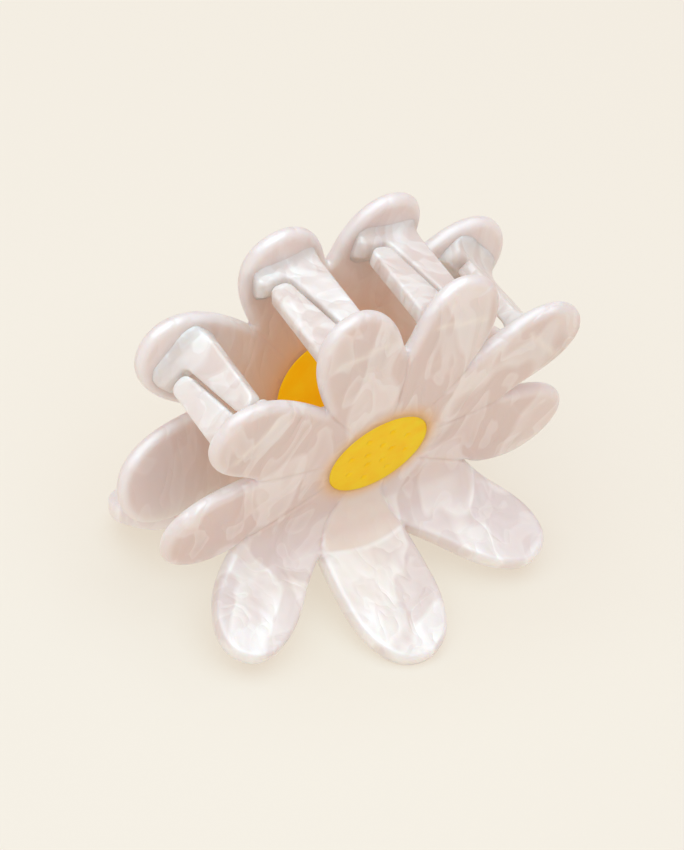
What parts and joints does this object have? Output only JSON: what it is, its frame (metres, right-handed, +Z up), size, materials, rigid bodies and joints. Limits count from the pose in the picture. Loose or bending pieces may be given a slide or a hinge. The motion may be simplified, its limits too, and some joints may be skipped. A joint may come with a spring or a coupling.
{
  "type": "flower claw hair clip",
  "caption": "Small claw hair clip: two bent nine-petalled flower halves with interleaving teeth, hinged on a steel pin and held shut by a torsion spring.",
  "frame": {"origin": "centre of the clip's box, on the level that its handle petals stand on", "axes": "+X along the hinge pin, across the petals; +Y from the front flower to the back flower; +Z up, from the handle petals to the teeth"},
  "size_m": [0.0636, 0.0502, 0.0533],
  "materials": {
    "pearl_sheet": "polished pearl-marbled translucent sheet",
    "pearl_tooth": "polished pearl-marbled translucent sheet",
    "pearl_ear": "polished pearl-marbled translucent sheet",
    "yellow_centre": "satin, with small dimples",
    "pin_steel": "bright",
    "spring_steel": "bright drawn wire"
  },
  "bodies": {
    "back_half": {"back_flower": "pearl_sheet", "back_centre": "yellow_centre", "back_tooth_1": "pearl_tooth", "back_tooth_2": "pearl_tooth", "back_tooth_3": "pearl_tooth", "back_tooth_4": "pearl_tooth", "back_ear_left": "pearl_ear", "back_ear_right": "pearl_ear", "hinge_pin": "pin_steel", "hinge_spring": "spring_steel"},
    "front_half": {"front_flower": "pearl_sheet", "front_centre": "yellow_centre", "front_tooth_1": "pearl_tooth", "front_tooth_2": "pearl_tooth", "front_tooth_3": "pearl_tooth", "front_tooth_4": "pearl_tooth", "front_ear_left": "pearl_ear", "front_ear_right": "pearl_ear"}
  },
  "joints": [
    {"name": "jaw_hinge", "type": "hinge", "parent": "back_half", "child": "front_half", "pos_m": [0, 0, 0.01547], "axis": [1, 0, 0], "range_deg": [0, 60], "stiffness_Nm_per_rad": 0.05, "springref_deg": -68.75, "deforming": ["hinge_spring"]}
  ]
}
